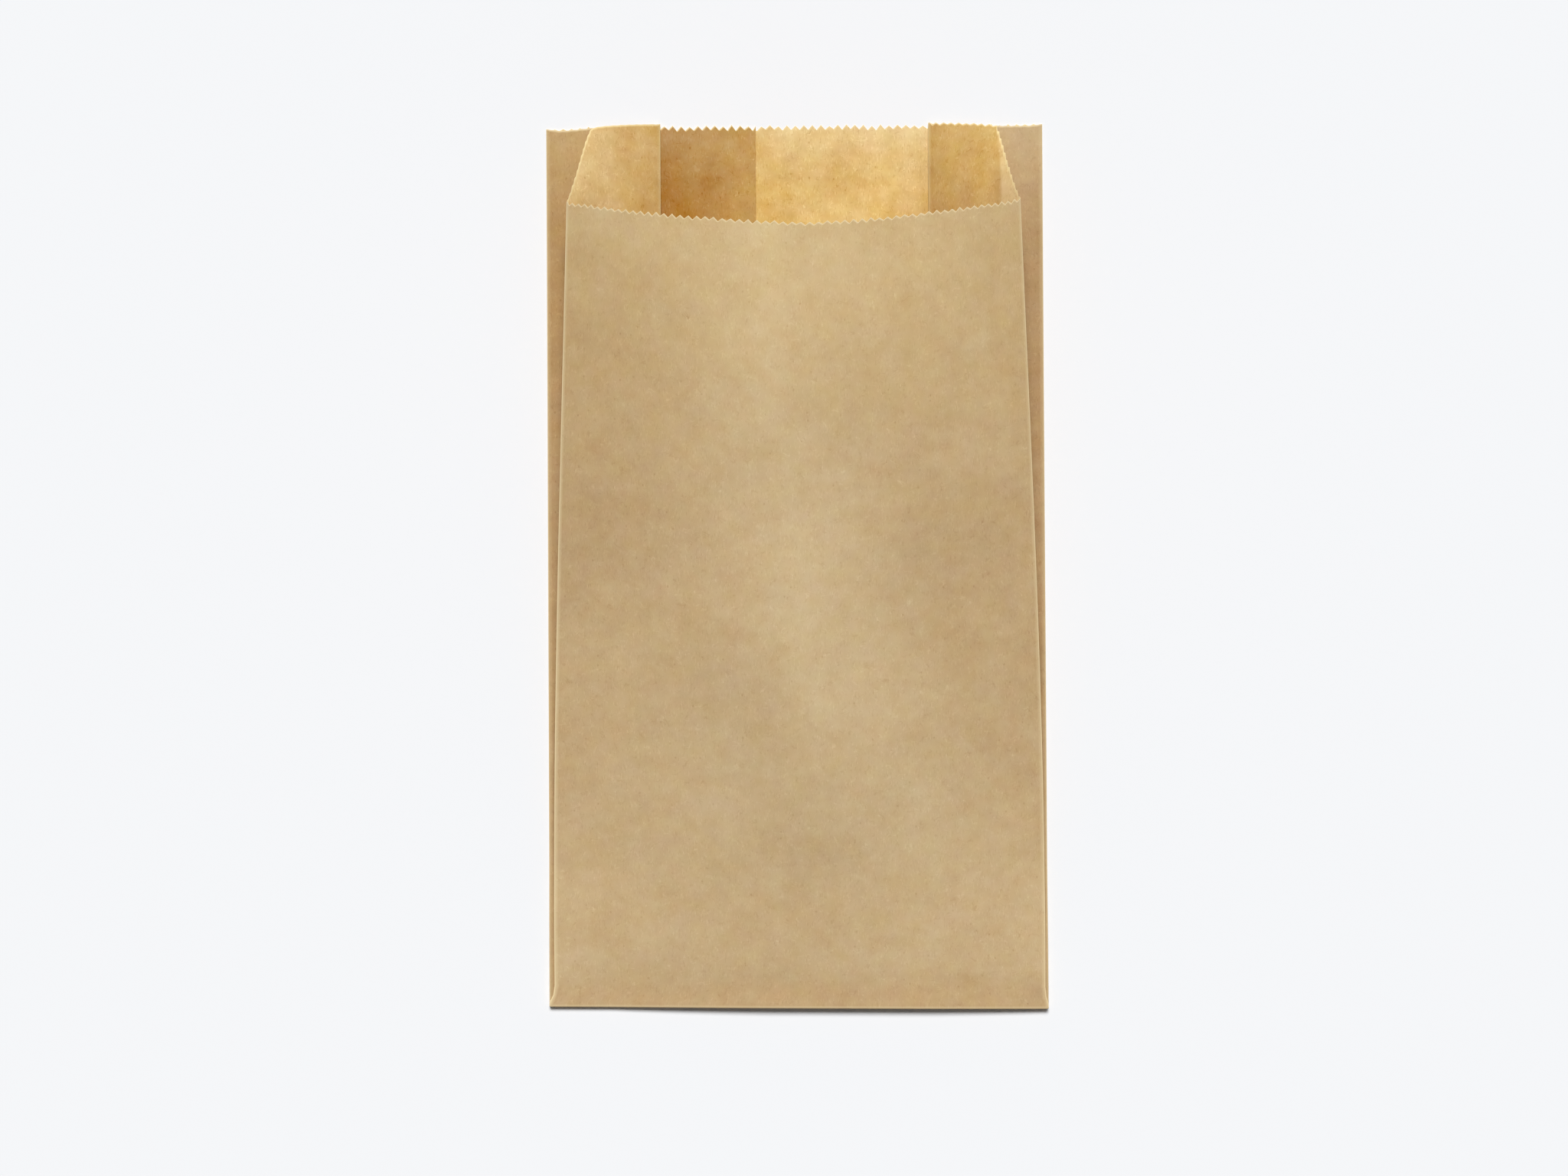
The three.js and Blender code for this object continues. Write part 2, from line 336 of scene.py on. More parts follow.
def column_rows(column):
    turn = TURN * turn_radius(column["level"])
    slanting = column["panel"].endswith("front_half") and column["cut"] < BAG_LENGTH - SLANT_LEAST
    foot = SLANT_FOOT if slanting else TOOTH_FOOT
    return np.concatenate([
        np.linspace(-FLAP, -turn, FLAP_ROWS),
        np.linspace(-turn, 0.0, BEND_ROWS + 1)[1:],
        [FIRST_ROW],
        np.linspace(0.0, EVEN_TOP, BODY_ROWS + 1)[1:],
        np.linspace(EVEN_TOP, column["cut"] - foot, UPPER_ROWS + 1)[1:],
        [column["cut"] - column["tooth"]],
    ])


for column in columns:
    column["rows"] = column_rows(column)
row_count = len(columns[0]["rows"])
print("rows:", row_count, "quads:", (len(columns) - 1) * (row_count - 1))

# %% [markdown]
# ## How the mouth stands open
#
# The back lies flat. Each gusset's crease lifts a little and its front fold rises further, and because
# paper doesn't stretch, the folds draw together as they rise and the front arches up between them. A
# cloth simulation could open the bag, but folded paper has a shape that can be worked out: a gusset half
# is a straight line of fixed length and the front is an arc of fixed length, so everything follows from
# how far the folds rise.

# %% Folds at a distance up the bag
GLUE_BAND = 6.0  # the bag stays shut up to here
FOLD_RISE = {"left": 19.0, "right": 21.4}
CREASE_LIFT = 0.8
FULLNESS = 0.45
RELAX = 0.40  # above the front's cut nothing holds the gussets up, and they fall back by this share
SIGN = {"left": -1.0, "right": 1.0}
CORNER_CLOSE = 4.5  # the front folds run out to the bag's corners over this distance
front_length = BAG_LENGTH - LIP_DROP


def open_share(v):
    s = np.clip((v - GLUE_BAND) / (front_length - GLUE_BAND), 0.0, 1.0)
    fallen = RELAX * np.maximum(0.0, (v - front_length) / LIP_DROP) ** 2
    return s * (1 + FULLNESS * (1 - s)) - fallen


def inset(side, v):
    return FRONT_INSET[side] * smooth(v, 0.0, CORNER_CLOSE)


def side_folds(side, v):
    """Places of a gusset's crease and of its front fold, across the bag and up from the back."""
    lift = CREASE_LIFT * open_share(v)
    rise = FOLD_RISE[side] * open_share(v)
    crease_x = half - np.sqrt(GUSSET**2 - lift**2)
    fold_x = crease_x + np.sqrt((GUSSET - inset(side, v)) ** 2 - rise**2)
    return (SIGN[side] * crease_x, lift), (SIGN[side] * fold_x, lift + rise)


mouth = np.array([front_length])
for side in SIGN:
    crease, fold = side_folds(side, mouth)
    print(side, "front fold above the back at the mouth, mm:", round(float(fold[1][0]), 1))

# %% [markdown]
# The front's arc has a known length, its paper, and a known chord, the way from one front fold to the
# other. No plain formula gives an arc's angle from these two, so it is found by halving the range that it
# must lie in.

# %% The front's arch
HALVINGS = 40


def arch_angle(ratio):
    """Half the angle of an arc whose chord is this share of its length."""
    low = np.zeros_like(ratio)
    high = np.full_like(ratio, pi / 2)
    for _ in range(HALVINGS):
        middle = (low + high) / 2
        wide = np.sin(middle) > ratio * middle
        low = np.where(wide, middle, low)
        high = np.where(wide, high, middle)
    return (low + high) / 2


def front_arch(q, v):
    (ax, az), (bx, bz) = side_folds("left", v)[1], side_folds("right", v)[1]
    chord = np.hypot(bx - ax, bz - az)
    angle = arch_angle(np.minimum(1.0, chord / (back_width - inset("left", v) - inset("right", v))))
    radius = chord / (2 * np.sin(angle))
    along = 0.5 + radius * np.sin(angle * (2 * q - 1)) / chord
    up = radius * (np.cos(angle * (2 * q - 1)) - np.cos(angle))
    x = ax + along * (bx - ax) - up * (bz - az) / chord
    return x, az + along * (bz - az) + up * (bx - ax) / chord


print("crown of the front at the mouth, mm:", round(float(front_arch(0.5, mouth)[1][0]), 1))

# %% [markdown]
# ## Places across the bag
#
# Each panel now has a place in the cross-section. The gussets' front halves sag a little between their
# folds. The right one has a soft second crease near its front fold, left by the way the bag was opened,
# so its sag is deepest there. The front has soft buckles, as thin paper has wherever it isn't held.

# %% Cross-section of each panel
SAG = {"left": 2.0, "right": 2.6}
SAG_PLACE = {"left": 0.5, "right": 0.76}  # from the crease to the front fold
SAG_ROUND = {"left": 0.5, "right": 0.06}
BUCKLE = 0.5
BUCKLE_LONG = {"length": 110.0, "lean": 0.8}
BUCKLE_SHORT = {"length": 67.0, "lean": -1.3}
SHORT_SHARE = 0.5  # height of the short buckles, as a share of the long ones'


def sag(q, side):
    a = q / SAG_PLACE[side]
    b = (1 - q) / (1 - SAG_PLACE[side])
    return SAG[side] * max(0.0, (a + b - np.sqrt((a - b) ** 2 + SAG_ROUND[side])) / 2)


def gusset_half(panel, q, v):
    side = SIDE[panel]
    crease, fold = side_folds(side, v)
    if panel.endswith("back_half"):
        return SIGN[side] * half + q * (crease[0] - SIGN[side] * half), q * crease[1]
    x = crease[0] + q * (fold[0] - crease[0])
    return x, crease[1] + q * (fold[1] - crease[1]) - sag(q, side) * open_share(v)


def wave(q, v, buckle):
    return np.sin(2 * pi * (v / buckle["length"] + buckle["lean"] * q))


def buckles(q, v):
    """Soft waves in the front, which die out at its folds and towards the bottom."""
    waves = wave(q, v, BUCKLE_LONG) + SHORT_SHARE * wave(q, v, BUCKLE_SHORT)
    return BUCKLE * np.sin(pi * q) * smooth(v, GLUE_BAND, front_length / 2) * waves


def cross_section(column, v):
    """Places across the bag and up from the back, at each distance up a column."""
    panel = column["panel"]
    q = column["share"]
    if panel == "inner_back":
        return np.full_like(v, LAP_EDGE - q * PANEL_WIDTH[panel]), np.zeros_like(v)
    if panel == "outer_back":
        return np.full_like(v, half - q * PANEL_WIDTH[panel]), np.zeros_like(v)
    if panel == "front":
        x, z = front_arch(q, v)
        return x, z + buckles(q, v)
    return gusset_half(panel, q if SIDE[panel] == "left" else 1 - q, v)


print("sag of the gussets, mm:", {side: round(float(sag(SAG_PLACE[side], side)), 2) for side in SAG})

# %% [markdown]
# ## Folding the sheet
#
# Where paper rises or draws in, it reaches less far along the bag, so the distance along the bag is added
# up row by row from what the rise leaves over. Below the bottom fold the layers turn round each other.
# The innermost one turns in a half circle and the outer ones more squarely, as pressed paper does. The
# bottom fold also curls up a little off the surface.

# %% The bottom turn and its curl
SQUARE_TURN = 0.5  # 0 is a half circle
CURL = 2.0
CURL_MIDDLE = 15.0  # the fold curls most of all here, a little right of the middle
CURL_TOP = 1.1  # over 1, the curl is even for a while on both sides of its middle
CURL_LEAST = 0.2
CURL_RUN = 45.0
flap_stack = (PANEL_LEVEL["front"] + 1) * LEVEL
turn_centre = flap_stack + PAPER / 2 - LEVEL / 2


def bottom_turn(column, below):
    """Places along the bag and up from the surface, at each distance below the bottom fold."""
    radius = turn_radius(column["level"])
    angle = pi * np.minimum(1.0, below / (TURN * radius))
    beyond = np.maximum(0.0, below - TURN * turn_radius(column["flap_level"]))
    power = 1 - SQUARE_TURN * min(1.0, column["level"])
    sine = np.abs(np.sin(angle)) ** power
    cosine = np.sign(np.cos(angle)) * np.abs(np.cos(angle)) ** power
    return beyond - radius * sine, turn_centre + radius * cosine


def curl(x, y):
    across = np.clip(CURL_TOP - ((x - CURL_MIDDLE) / half) ** 2, CURL_LEAST, 1.0)
    return CURL * across * (1 - smooth(np.abs(y), 0.0, CURL_RUN)) ** 2


print("layers of the flap together, mm:", round(flap_stack, 2))

# %% Points of the folded sheet
SETTLE_RUN = 30.0  # above the flap, the bag comes down to the surface over this distance
BOTTOM_SKEW = 0.7  # the bottom fold runs this much low on the right, and high on the left
DRAW_IN = 0.004  # share of its width that the bag loses at the open mouth
bottom_y = bag_low[1] / MM + turn_radius(PANEL_LEVEL["front"]) + PAPER / 2


def folded_column(column):
    v = column["rows"]
    up = np.maximum(v, 0.0)
    x, z = cross_section(column, up)
    lift = flap_stack * (1 - smooth(up, FLAP, FLAP + SETTLE_RUN))
    z = z + lift + PAPER / 2 + column["level"] * LEVEL
    reach = np.sqrt(np.maximum(0.0, np.diff(up) ** 2 - np.diff(x) ** 2 - np.diff(z) ** 2))
    y = np.concatenate([[0.0], np.cumsum(reach)])
    turned_y, turned_z = bottom_turn(column, np.maximum(0.0, -v))
    y = np.where(v < 0, turned_y, y)
    z = np.where(v < 0, turned_z, z)
    z = z + curl(x, y)
    y = y - BOTTOM_SKEW * x / half * (1 - smooth(up, 0.0, front_length))
    x = x * (1 - DRAW_IN * smooth(up, 0.0, BAG_LENGTH))
    return np.stack([x, y + bottom_y, z], axis=1) * MM


places = np.stack([folded_column(column) for column in columns])
print("folded sheet, mm:", np.round(np.ptp(places.reshape(-1, 3), axis=0) / MM, 1))

# %% [markdown]
# ## Tones of the outside
#
# The outside isn't one even tone, because light and shade are painted on it. It has a painted highlight
# along the crest of the front, which runs up from the right of the bottom to the middle of the mouth, and
# along a fainter knee low on the left, and the front is painted paler towards the mouth. It has painted
# shade on the flanks and just above the bottom fold, and most of all on the tucked gussets under the
# front's folds. Light alone would shade it so, but soft light shows little of it. So the painted light and
# shade go with the paper as a mark on each point, drawn as lines up the sheet: each table gives distances
# up the paper, then the value at each of them, and the value goes evenly from one to the next.

# %% Painted highlight and shade on the outside
# Painted highlight along the crest, its ridge and the knee; painted shade on the flanks and above the bottom
# fold.
CREST_SHARE = ((40.0, 80.0, 140.0, 180.0), (0.78, 0.60, 0.50, 0.45))  # its place across the front
CREST_WIDTH = 0.22
CREST_PAINTED_LIGHT_AND_SHADE = (
    (0.0, 4.0, 10.0, 30.0, 60.0, 130.0, 170.0, 250.0),
    (-0.12, -0.14, 0.0, 0.0, 0.06, 0.09, 0.06, 0.12),
)
RIDGE_WIDTH = 0.06  # along the top of the crest
RIDGE_PAINTED_HIGHLIGHT = ((150.0, 200.0, 245.0), (0.0, 0.05, 0.04))
KNEE_SHARE = ((50.0, 75.0, 90.0, 112.0), (0.35, 0.3, 0.25, 0.15))
KNEE_WIDTH = 0.17
KNEE_PAINTED_HIGHLIGHT = ((30.0, 55.0, 75.0, 112.0, 135.0, 150.0), (0.0, 0.06, 0.10, 0.09, 0.02, 0.0))
FLANK_UP = (0.0, 4.0, 10.0, 40.0, 80.0, 140.0, 200.0, 245.0)
FLANK_PAINTED_LIGHT_AND_SHADE = {
    "left": (FLANK_UP, (-0.12, -0.14, 0.0, -0.02, -0.08, -0.15, -0.09, 0.10)),
    "right": (FLANK_UP, (-0.12, -0.14, 0.0, -0.02, -0.10, -0.09, -0.01, 0.08)),
}
# Painted shade on the tucked gussets, which lie under the front's folds.
TUCKED_PAINTED_SHADE = {
    "left": ((200.0, 238.0, 260.0), (-0.26, -0.27, -0.13)),
    "right": ((200.0, 236.0, 244.0, 262.0), (-0.28, -0.28, -0.22, -0.07)),
}


def hump(across, width):
    return np.exp(-((across / width) ** 2))


def outside_painted_light_and_shade(column, v):
    """Painted light and shade: how much paler the outside is painted than the paper's own tone, or darker,
    as painted shade, where it is less than nothing.
    """
    panel = column["panel"]
    if panel == "front":
        across = column["share"] - np.interp(v, *CREST_SHARE)
        crest = hump(across, CREST_WIDTH)
        knee = hump(column["share"] - np.interp(v, *KNEE_SHARE), KNEE_WIDTH)
        flank = np.interp(v, *FLANK_PAINTED_LIGHT_AND_SHADE["left" if across < 0 else "right"]) + knee * np.interp(v, *KNEE_PAINTED_HIGHLIGHT)
        ridge = hump(across, RIDGE_WIDTH) * np.interp(v, *RIDGE_PAINTED_HIGHLIGHT)
        return float(crest * np.interp(v, *CREST_PAINTED_LIGHT_AND_SHADE) + (1 - crest) * flank + ridge)
    if panel.endswith("back"):
        return 0.0
    return float(np.interp(v, *TUCKED_PAINTED_SHADE[SIDE[panel]]))


front_columns = [column for column in columns if column["panel"] == "front"]
middle_column = front_columns[len(front_columns) // 2]
print("tone up the middle of the front:", [round(outside_painted_light_and_shade(middle_column, v), 2) for v in FLANK_UP])

# %% [markdown]
# ## Painted light and shade on the inside
#
# The inside is seen through the mouth, and light and shade are painted on it. The single layer of the back
# lets the pale surface shine through, so it is painted to glow. The lap is double and stays brown, and the
# gussets lie between the two. Painted light makes the paper pale in a band beside each slanting cut and in
# a strip along the back's teeth, and painted light and shade make it pale or darken towards the gussets'
# creases. A translucent shader could let light through the paper, but an exported model would lose it. A
# mark on each point gives the same look and is kept.

# %% How the inside glows
GLOW = {
    "inner_back": 0.38, "left_back_half": 0.3, "left_front_half": 0.55, "front": 0.3,
    "right_front_half": 0.6, "right_back_half": 0.3, "outer_back": 1.0,
}
# Painted light: the pale band beside each slanting cut.
BAND_X = {"left": (38.0, 84.0), "right": (61.6, 62.6)}  # from the flap's own tone to the pale band
BAND_SHARE = {"left": 1.0, "right": 0.7}
STRIP_DEPTH = (3.0, 13.0)  # of the strip along the back's teeth, at the lap and at the right crease
INNER_REACH = (244.0, 264.0)  # from the front's edge to the mouth's
INNER_PAINTED_LIGHT_AND_SHADE = {
    "inner_back": {"run": 20.0, "at_crease": (-0.12, 0.16), "away": (0.0, 0.0)},
    "left_front_half": {"run": 25.0, "at_crease": (0.02, -0.01), "away": (0.04, -0.10)},
    "right_front_half": {"run": 20.0, "at_crease": (0.0, -0.05), "away": (0.06, 0.02)},
    "outer_back": {"run": 16.0, "at_crease": (-0.11, 0.01), "away": (0.0, 0.0)},
}


# Painted light coming through the paper, less where layers lie behind it.
def glow(panel, x):
    if panel != "inner_back":
        return GLOW[panel]
    return GLOW[panel] * float(smooth(x, GUSSET - half, LAP_EDGE))


# Painted light beside each gusset's slanting cut.
def painted_light_band(panel, x):
    if not panel.endswith("front_half"):
        return 0.0
    return BAND_SHARE[SIDE[panel]] * float(smooth(abs(x), *BAND_X[SIDE[panel]]))


def near_edge(column, x, v):
    """Painted light: 1 on the cut edge of the back's single layer, dying away below it."""
    if column["panel"] != "outer_back":
        return 0.0
    depth = np.interp(x, (LAP_EDGE, half - GUSSET), STRIP_DEPTH)
    return float(np.exp((v - column["cut"]) / depth))


def inside_painted_light_and_shade(panel, x, v):
    """Painted light and shade on the inside, which change most near the gussets' creases."""
    if panel not in INNER_PAINTED_LIGHT_AND_SHADE:
        return 0.0
    painted_light_and_shade = INNER_PAINTED_LIGHT_AND_SHADE[panel]
    crease = SIGN[SIDE[panel]] * (half - GUSSET)
    away = np.interp(abs(x - crease), (0.0, painted_light_and_shade["run"]), (0.0, 1.0))
    low, high = (a + away * (b - a) for a, b in zip(painted_light_and_shade["at_crease"], painted_light_and_shade["away"]))
    return float(np.interp(v, INNER_REACH, (low, high)))


print("glow at the lap's edge and beside it:", glow("inner_back", LAP_EDGE), glow("outer_back", LAP_EDGE))

# %% [markdown]
# ## Worn and highlighted folds
#
# A fold breaks the paper's fibres and is handled most, so it is rubbed pale, and it also has a painted
# highlight, most of all on the front folds. The bottom turn is worn and has a painted highlight too, just
# below its fold. Towards the mouth the paper is a little warmer in tone, apart from the right gusset.

# %% How worn and highlighted, and how warm, the paper is
# Pale lines at the folds: partly wear and partly painted highlight.
FOLD_WEAR_AND_HIGHLIGHT = (0.7, 0.8, 1.4, 1.0, 0.8, 0.7)  # how pale each fold is rubbed, across the sheet
BESIDE_FOLD = 0.35  # share of that beside it
BOTTOM_WEAR_AND_HIGHLIGHT = {1: 0.4, 2: 0.7}  # on the first rows of the bottom turn
WARMTH = 0.08
WARM_FROM = (140.0, 240.0)


def fold_wear_and_highlight(column, row):
    worn_and_lit = 0.0
    if column["fold"] is not None:
        worn_and_lit = FOLD_WEAR_AND_HIGHLIGHT[column["fold"]] * (1.0 if column["on_fold"] else BESIDE_FOLD)
    below_fold = FLAP_ROWS - 1 + BEND_ROWS - row
    return max(worn_and_lit, BOTTOM_WEAR_AND_HIGHLIGHT.get(below_fold, 0.0))


def warmth(panel, v):
    if panel.startswith("right"):
        return 0.0
    return WARMTH * float(smooth(v, *WARM_FROM))


print("most worn fold:", max(FOLD_WEAR_AND_HIGHLIGHT), "warmest:", warmth("front", BAG_LENGTH))

# %% [markdown]
# ## Making the sheet
#
# A grid is the sheet laid flat: it keeps the order of the columns and rows, and Blender makes its faces.
# Each of its points is moved to its place in the folded bag and is given its marks. The UV map is the
# flat sheet itself, so that fibres run up the paper on every panel. Folds and cut edges are marked sharp,
# and all the rest is smooth.

# %% The grid, its points and their marks
SHEET_SPAN = 0.5  # metres of paper to one unit of the UV map
GRID_HALF = 0.5  # the grid is one unit wide before it is folded
# Apart from warmth, these marks carry painted light and shade; the fold and cut-edge marks are partly wear
# too.
MARKS = ("fold", "cut_edge", "glow", "band", "near_edge", "painted_light_and_shade", "inner_painted_light_and_shade", "warmth")


def paper_marks(column, row, x):
    """What the finish needs to know at one point, in the order of MARKS."""
    panel = column["panel"]
    v = column["rows"][row]
    return (
        fold_wear_and_highlight(column, row), float(row == row_count - 1), glow(panel, x), painted_light_band(panel, x),
        near_edge(column, x, v), outside_painted_light_and_shade(column, v), inside_painted_light_and_shade(panel, x, v), warmth(panel, v),
    )


sheet = bmesh.new()
bmesh.ops.create_grid(sheet, x_segments=len(columns) - 1, y_segments=row_count - 1, size=GRID_HALF)
uv_map = sheet.loops.layers.uv.new("flat_sheet")
layers = [sheet.verts.layers.float.new(name) for name in MARKS]
flat_place = {}
on_fold = set()
for point in sheet.verts:
    i = round((point.co.x + GRID_HALF) * (len(columns) - 1))
    row = round((point.co.y + GRID_HALF) * (row_count - 1))
    column = columns[i]
    point.co = places[i, row]
    for layer, mark in zip(layers, paper_marks(column, row, point.co.x / MM)):
        point[layer] = mark
    flat = (column["u"], column["rows"][row] + FLAP)
    flat_place[point] = [distance * MM / SHEET_SPAN for distance in flat]
    if column["on_fold"]:
        on_fold.add(point)
print("points:", len(sheet.verts), "on folds:", len(on_fold))

# %% The finished mesh
for face in sheet.faces:
    face.smooth = True
    for corner in face.loops:
        corner[uv_map].uv = flat_place[corner.vert]
for edge in sheet.edges:
    edge.smooth = not (edge.is_boundary or all(point in on_fold for point in edge.verts))
paper = bpy.data.meshes.new("kraft_bag")
sheet.to_mesh(paper)
sheet.free()
bag = bpy.data.objects.new("kraft_bag", paper)
bpy.context.collection.objects.link(bag)
print("kraft_bag:", len(paper.polygons), "quads")

# %% [markdown]
# ## Thickness
#
# Paper has two faces and a cut edge, and here they differ: the inside is yellower than the outside and
# carries painted light and shade, and a fresh cut is pale. Solidify gives the sheet its thickness and
# hands the inner face and the rim the next two materials.

# %% Give the sheet its thickness
thickness = bag.modifiers.new("paper", "SOLIDIFY")
thickness.thickness = PAPER * MM
thickness.offset = 0.0
thickness.material_offset = 1
thickness.material_offset_rim = 2
print("thickness, mm:", round(thickness.thickness / MM, 3))

# %% [markdown]
# ## Node helpers
#
# The finishes are all nodes. A short helper makes a node, sets it and joins its inputs in one line, and
# two more mix colours and do sums.

# %% Helpers for nodes
def put(tree, kind, inputs=None, **settings):
    node = tree.nodes.new("ShaderNode" + kind)
    for name, value in settings.items():
        setattr(node, name, value)
    for socket, value in (inputs or {}).items():
        if isinstance(value, bpy.types.NodeSocket):
            tree.links.new(value, node.inputs[socket])
        else:
            node.inputs[socket].default_value = value
    return node


def mix(tree, share, a, b):
    return put(tree, "Mix", {0: share, 6: a, 7: b}, data_type="RGBA").outputs[2]


def calc(tree, operation, first, *others):
    """A sum, product or the like of two or more values."""
    for other in others:
        first = put(tree, "Math", {0: first, 1: other}, operation=operation).outputs[0]
    return first


print("node helpers:", [helper.__name__ for helper in (put, mix, calc)])

# %% [markdown]
# ## Marks of the fibres
#
# Kraft paper is a mat of wood fibres. It shows cloudy patches where the mat is thicker, a finer mottle,
# loose curled strands, and single fibres, paler or darker than the rest, that lie mostly up the paper,
# with a few dark specks of bark. An image could show all this, but noise and Voronoi cells do so at any
# size. Noise makes the clouds, the line where another noise crosses its middle value makes the strands,
# and narrow Voronoi cells make the fibres.

# %% Clouds, strands and fibres
STRAND_WIDTH = 0.03
STRAND_CURL = 1.2
STRAND_GATHER = (0.52, 0.60)  # strands show only where a second noise passes these values
GATHER_SHIFT = 2.0
GATHER_SCALE = 1.3
FLECK_CORE = 0.4  # share of a fleck's reach that has its full tone
NOISE_MIDDLE = 0.5


def placed(tree, size, shift, stretch=1.0):
    """The flat sheet, scaled to a mark's size in metres and shifted to a part of the noise of its own."""
    flat = tree.nodes["flat_sheet"].outputs[0]
    scale = (SHEET_SPAN / size * stretch, SHEET_SPAN / size, 1.0)
    return put(tree, "Mapping", {"Vector": flat, "Location": (shift, shift, 0.0), "Scale": scale}).outputs[0]


def noise(tree, size, detail, shift, amount):
    value = put(tree, "TexNoise", {"Vector": placed(tree, size, shift), "Scale": 1.0, "Detail": detail})
    return calc(tree, "MULTIPLY", calc(tree, "SUBTRACT", value.outputs["Fac"], NOISE_MIDDLE), amount)


def strands(tree, size, shift, amount):
    line = put(tree, "TexNoise", {
        "Vector": placed(tree, size, shift), "Scale": 1.0, "Detail": 1.0, "Distortion": STRAND_CURL,
    })
    apart = calc(tree, "ABSOLUTE", calc(tree, "SUBTRACT", line.outputs["Fac"], NOISE_MIDDLE), 0.0)
    thin = put(tree, "MapRange", {0: apart, 1: STRAND_WIDTH, 2: 0.0}).outputs[0]
    here = put(tree, "TexNoise", {"Vector": placed(tree, size, shift + GATHER_SHIFT), "Scale": GATHER_SCALE})
    low, high = STRAND_GATHER
    kept = put(tree, "MapRange", {0: here.outputs["Fac"], 1: low, 2: high}).outputs[0]
    return calc(tree, "MULTIPLY", thin, kept, amount)


def flecks(tree, size, shift, stretch, reach, share, amount):
    cells = put(tree, "TexVoronoi", {"Vector": placed(tree, size, shift, stretch), "Scale": 1.0})
    near = put(tree, "MapRange", {0: cells.outputs["Distance"], 1: reach, 2: reach * FLECK_CORE}).outputs[0]
    luck = put(tree, "SeparateColor", {0: cells.outputs["Color"]}).outputs[0]
    return calc(tree, "MULTIPLY", near, calc(tree, "LESS_THAN", luck, share), amount)


print("marks:", [kind.__name__ for kind in (noise, strands, flecks)])

# %% [markdown]
# ## The kraft fibre group
#
# The outside, the inside and the cut edge share these marks, so they are a node group: it takes a tone
# and puts out the tone with the fibres in it, and their height. A paler fibre is also a little yellower
# and less strong in colour, and patches of the paper differ in colour as well as in lightness.

# %% Sizes, in metres, and strengths of the marks
CLOUD = {"size": 0.045, "detail": 1.0, "shift": 0.0, "amount": 0.10}
PATCH = {"size": 0.012, "detail": 2.0, "shift": 3.0, "amount": 0.16}
MOTTLE = {"size": 0.004, "detail": 3.0, "shift": 5.0, "amount": 0.17}
STRANDS = (
    {"size": 0.003, "shift": 21.0, "amount": 0.09},
    {"size": 0.003, "shift": 29.0, "amount": -0.09},
)
FLECKS = (
    {"size": 0.0015, "shift": 7.0, "stretch": 4.0, "reach": 0.5, "share": 0.30, "amount": 0.07},
    {"size": 0.0015, "shift": 11.0, "stretch": 4.0, "reach": 0.5, "share": 0.25, "amount": -0.07},
    {"size": 0.0026, "shift": 13.0, "stretch": 1.4, "reach": 0.18, "share": 0.12, "amount": -0.14},
)
DYE_PATCH = {"size": 0.018, "detail": 2.0, "shift": 19.0, "amount": 0.12}
DYE_MOTTLE = {"size": 0.006, "detail": 3.0, "shift": 15.0, "amount": 0.16}
HUE_PATCH = {"size": 0.018, "detail": 2.0, "shift": 23.0, "amount": 0.007}
HUE_MOTTLE = {"size": 0.006, "detail": 3.0, "shift": 17.0, "amount": 0.022}
PALE_FADES = -0.5  # change of saturation where the paper is paler
PALE_YELLOWS = 0.035  # and of hue
HUE_KEPT = 0.5  # the value at which a Hue node changes nothing
print("marks, mm:", [round(mark["size"] / MM, 1) for mark in (CLOUD, PATCH, MOTTLE, *STRANDS, *FLECKS)])

# %% Build the group
GROUP_INPUTS = {"Tone": "Color", "Strength": "Float", "Clouds": "Float", "PaintedLightAndShade": "Float", "Warmth": "Float"}
GROUP_OUTPUTS = {"Color": "Color", "Height": "Float"}


def fibre_level(tree, given):
    """How much paler or darker the fibres make the paper."""
    clouds = calc(tree, "ADD", noise(tree, **CLOUD), noise(tree, **PATCH))
    marks = [calc(tree, "MULTIPLY", clouds, given["Clouds"]), noise(tree, **MOTTLE)]
    marks += [strands(tree, **each) for each in STRANDS]
    marks += [flecks(tree, **each) for each in FLECKS]
    return calc(tree, "MULTIPLY", calc(tree, "ADD", *marks), given["Strength"])


def uneven_dye(tree, given, patch, mottle):
    """Change of colour in patches, stronger where the paper is cloudier, and in a fine mottle."""
    patches = calc(tree, "MULTIPLY", noise(tree, **patch), given["Clouds"])
    return calc(tree, "ADD", patches, noise(tree, **mottle))


def kraft_group():
    tree = bpy.data.node_groups.new("kraft_fibres", "ShaderNodeTree")
    for name, kind in GROUP_INPUTS.items():
        tree.interface.new_socket(name, in_out="INPUT", socket_type="NodeSocket" + kind)
    for name, kind in GROUP_OUTPUTS.items():
        tree.interface.new_socket(name, in_out="OUTPUT", socket_type="NodeSocket" + kind)
    given = tree.nodes.new("NodeGroupInput").outputs
    made = tree.nodes.new("NodeGroupOutput").inputs
    put(tree, "UVMap", uv_map="flat_sheet", name="flat_sheet")
    height = fibre_level(tree, given)
    # The sheet's painted light and shade is added to the fibres' level here.
    level = calc(tree, "ADD", height, given["PaintedLightAndShade"])
    fading = calc(tree, "ADD", calc(tree, "MULTIPLY", level, PALE_FADES), 1.0)
    saturation = calc(tree, "ADD", fading, given["Warmth"], uneven_dye(tree, given, DYE_PATCH, DYE_MOTTLE))
    hue = calc(tree, "ADD", uneven_dye(tree, given, HUE_PATCH, HUE_MOTTLE), HUE_KEPT)
    hue = calc(tree, "ADD", hue, calc(tree, "MULTIPLY", level, PALE_YELLOWS))
    value = calc(tree, "ADD", level, 1.0)
    tinted = put(tree, "HueSaturation", {
        "Hue": hue, "Saturation": saturation, "Value": value, "Color": given["Tone"],
    })
    tree.links.new(tinted.outputs[0], made["Color"])
    tree.links.new(height, made["Height"])
    return tree


kraft_fibres = kraft_group()
print("kraft_fibres:", len(kraft_fibres.nodes), "nodes")

